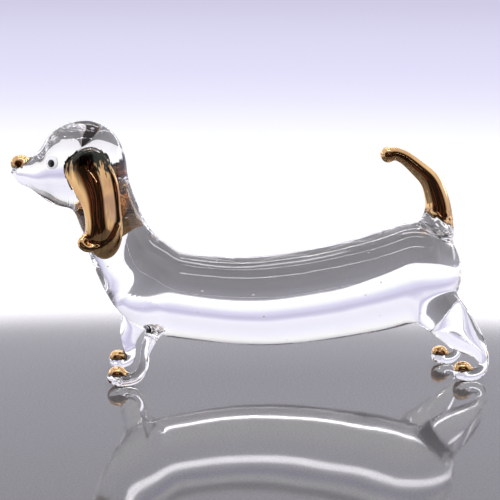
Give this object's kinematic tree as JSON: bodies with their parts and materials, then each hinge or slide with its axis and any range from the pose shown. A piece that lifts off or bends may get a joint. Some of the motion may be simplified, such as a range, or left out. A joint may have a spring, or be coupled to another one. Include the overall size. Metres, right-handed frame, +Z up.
{
  "type": "glass dog figurine",
  "caption": "Small solid-glass dachshund figurine, clear, with gilded ears, nose, toes and tail, standing on flattened soles.",
  "frame": {"origin": "on the table, under the middle of the figure's outline (centre of the bounding box's bottom)", "axes": "+Z up; the nose points to -X and the tail to +X; the dog's left side is -Y"},
  "size_m": [0.1046, 0.0216, 0.0574],
  "materials": {
    "clear_glass": "clear flame-polished glass, glossy, with a few seeds",
    "gold_lustre": "bright gold lustre fired on glass, mirror-like, thin at its brushed edges",
    "white_glass": "opaque white glass, glossy",
    "black_glass": "opaque black glass, glossy"
  },
  "bodies": {
    "root": {"trunk": "clear_glass", "neck": "clear_glass", "head": "clear_glass", "muzzle": "clear_glass", "tail_root": "clear_glass", "front_leg_left": "clear_glass", "front_leg_right": "clear_glass", "rear_leg_left": "clear_glass", "rear_leg_right": "clear_glass", "nose": "gold_lustre", "tail": "gold_lustre", "ear_left": "gold_lustre", "ear_right": "gold_lustre", "front_toe_left": "gold_lustre", "front_toe_right": "gold_lustre", "rear_toe_left": "gold_lustre", "rear_toe_right": "gold_lustre", "eye_white_left": "white_glass", "eye_white_right": "white_glass", "pupil_left": "black_glass", "pupil_right": "black_glass"}
  },
  "joints": []
}
